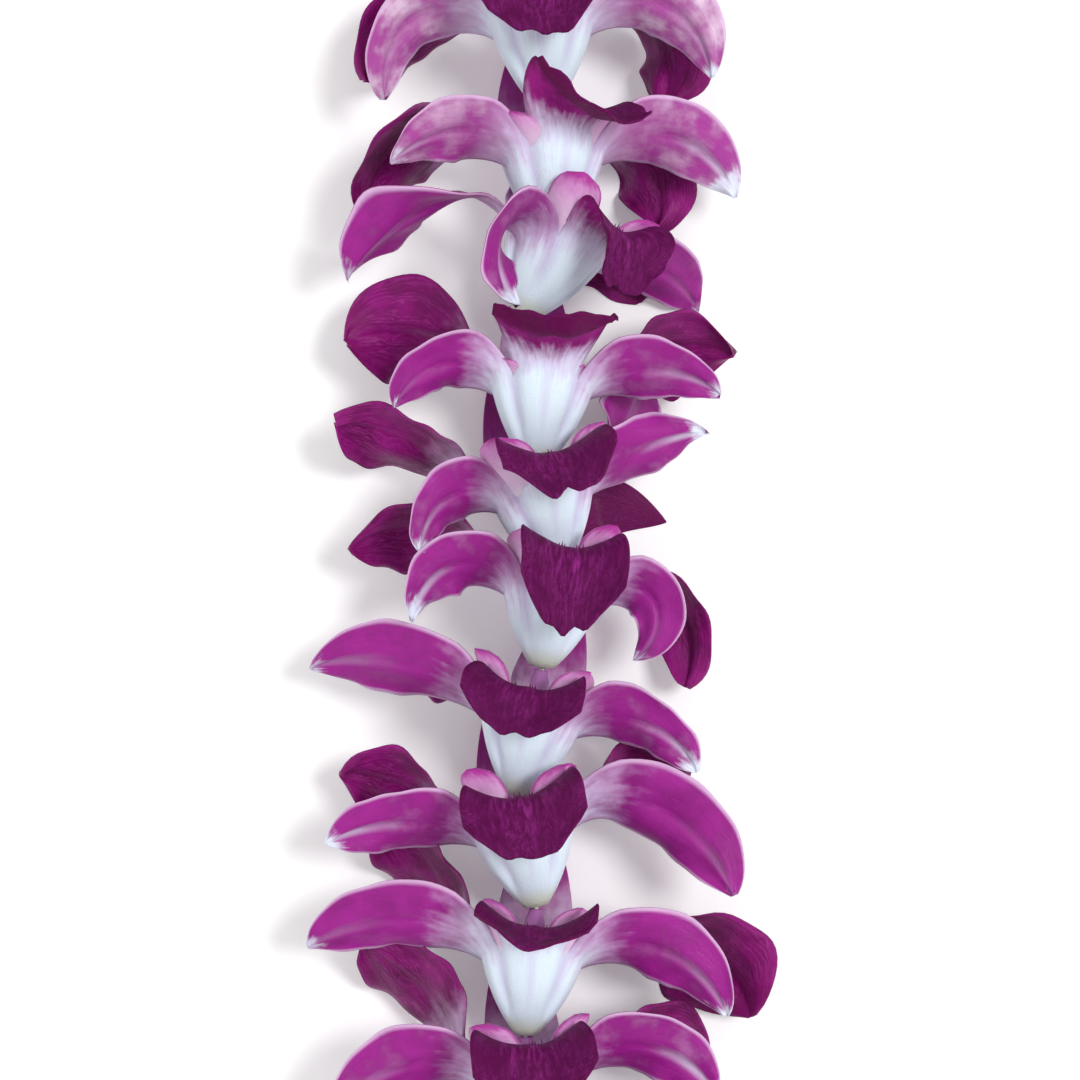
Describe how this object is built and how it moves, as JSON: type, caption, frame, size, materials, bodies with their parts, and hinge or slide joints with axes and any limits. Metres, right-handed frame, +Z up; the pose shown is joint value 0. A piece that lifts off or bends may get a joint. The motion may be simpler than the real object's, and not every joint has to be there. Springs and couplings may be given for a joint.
{
  "type": "fresh flower lei",
  "caption": "Orchid blossoms strung nose to tail on one cotton thread, tied in a closed garland and laid flat in a long ring.",
  "frame": {"origin": "middle of the ring, on the surface that the lei lies on", "axes": "+Z up from the surface, +Y along the ring's two straight strands, the way the near strand's blossoms open"},
  "size_m": [0.2518, 0.4242, 0.0417],
  "materials": {
    "blossom": "waxy petals, white cup to deep magenta",
    "thread": "plain cotton"
  },
  "bodies": {
    "root": {"blossom_01": "blossom", "blossom_02": "blossom", "blossom_03": "blossom", "blossom_04": "blossom", "blossom_05": "blossom", "blossom_06": "blossom", "blossom_07": "blossom", "blossom_08": "blossom", "blossom_09": "blossom", "blossom_10": "blossom", "blossom_11": "blossom", "blossom_12": "blossom", "blossom_13": "blossom", "blossom_14": "blossom", "blossom_15": "blossom", "blossom_16": "blossom", "blossom_17": "blossom", "blossom_18": "blossom", "blossom_19": "blossom", "blossom_20": "blossom", "blossom_21": "blossom", "blossom_22": "blossom", "blossom_23": "blossom", "blossom_24": "blossom", "blossom_25": "blossom", "blossom_26": "blossom", "blossom_27": "blossom", "blossom_28": "blossom", "blossom_29": "blossom", "blossom_30": "blossom", "blossom_31": "blossom", "blossom_32": "blossom", "blossom_33": "blossom", "blossom_34": "blossom", "blossom_35": "blossom", "blossom_36": "blossom", "blossom_37": "blossom", "blossom_38": "blossom", "blossom_39": "blossom", "blossom_40": "blossom", "blossom_41": "blossom", "blossom_42": "blossom", "blossom_43": "blossom", "blossom_44": "blossom", "blossom_45": "blossom", "blossom_46": "blossom", "blossom_47": "blossom", "blossom_48": "blossom", "blossom_49": "blossom", "blossom_50": "blossom", "thread": "thread"}
  },
  "joints": []
}
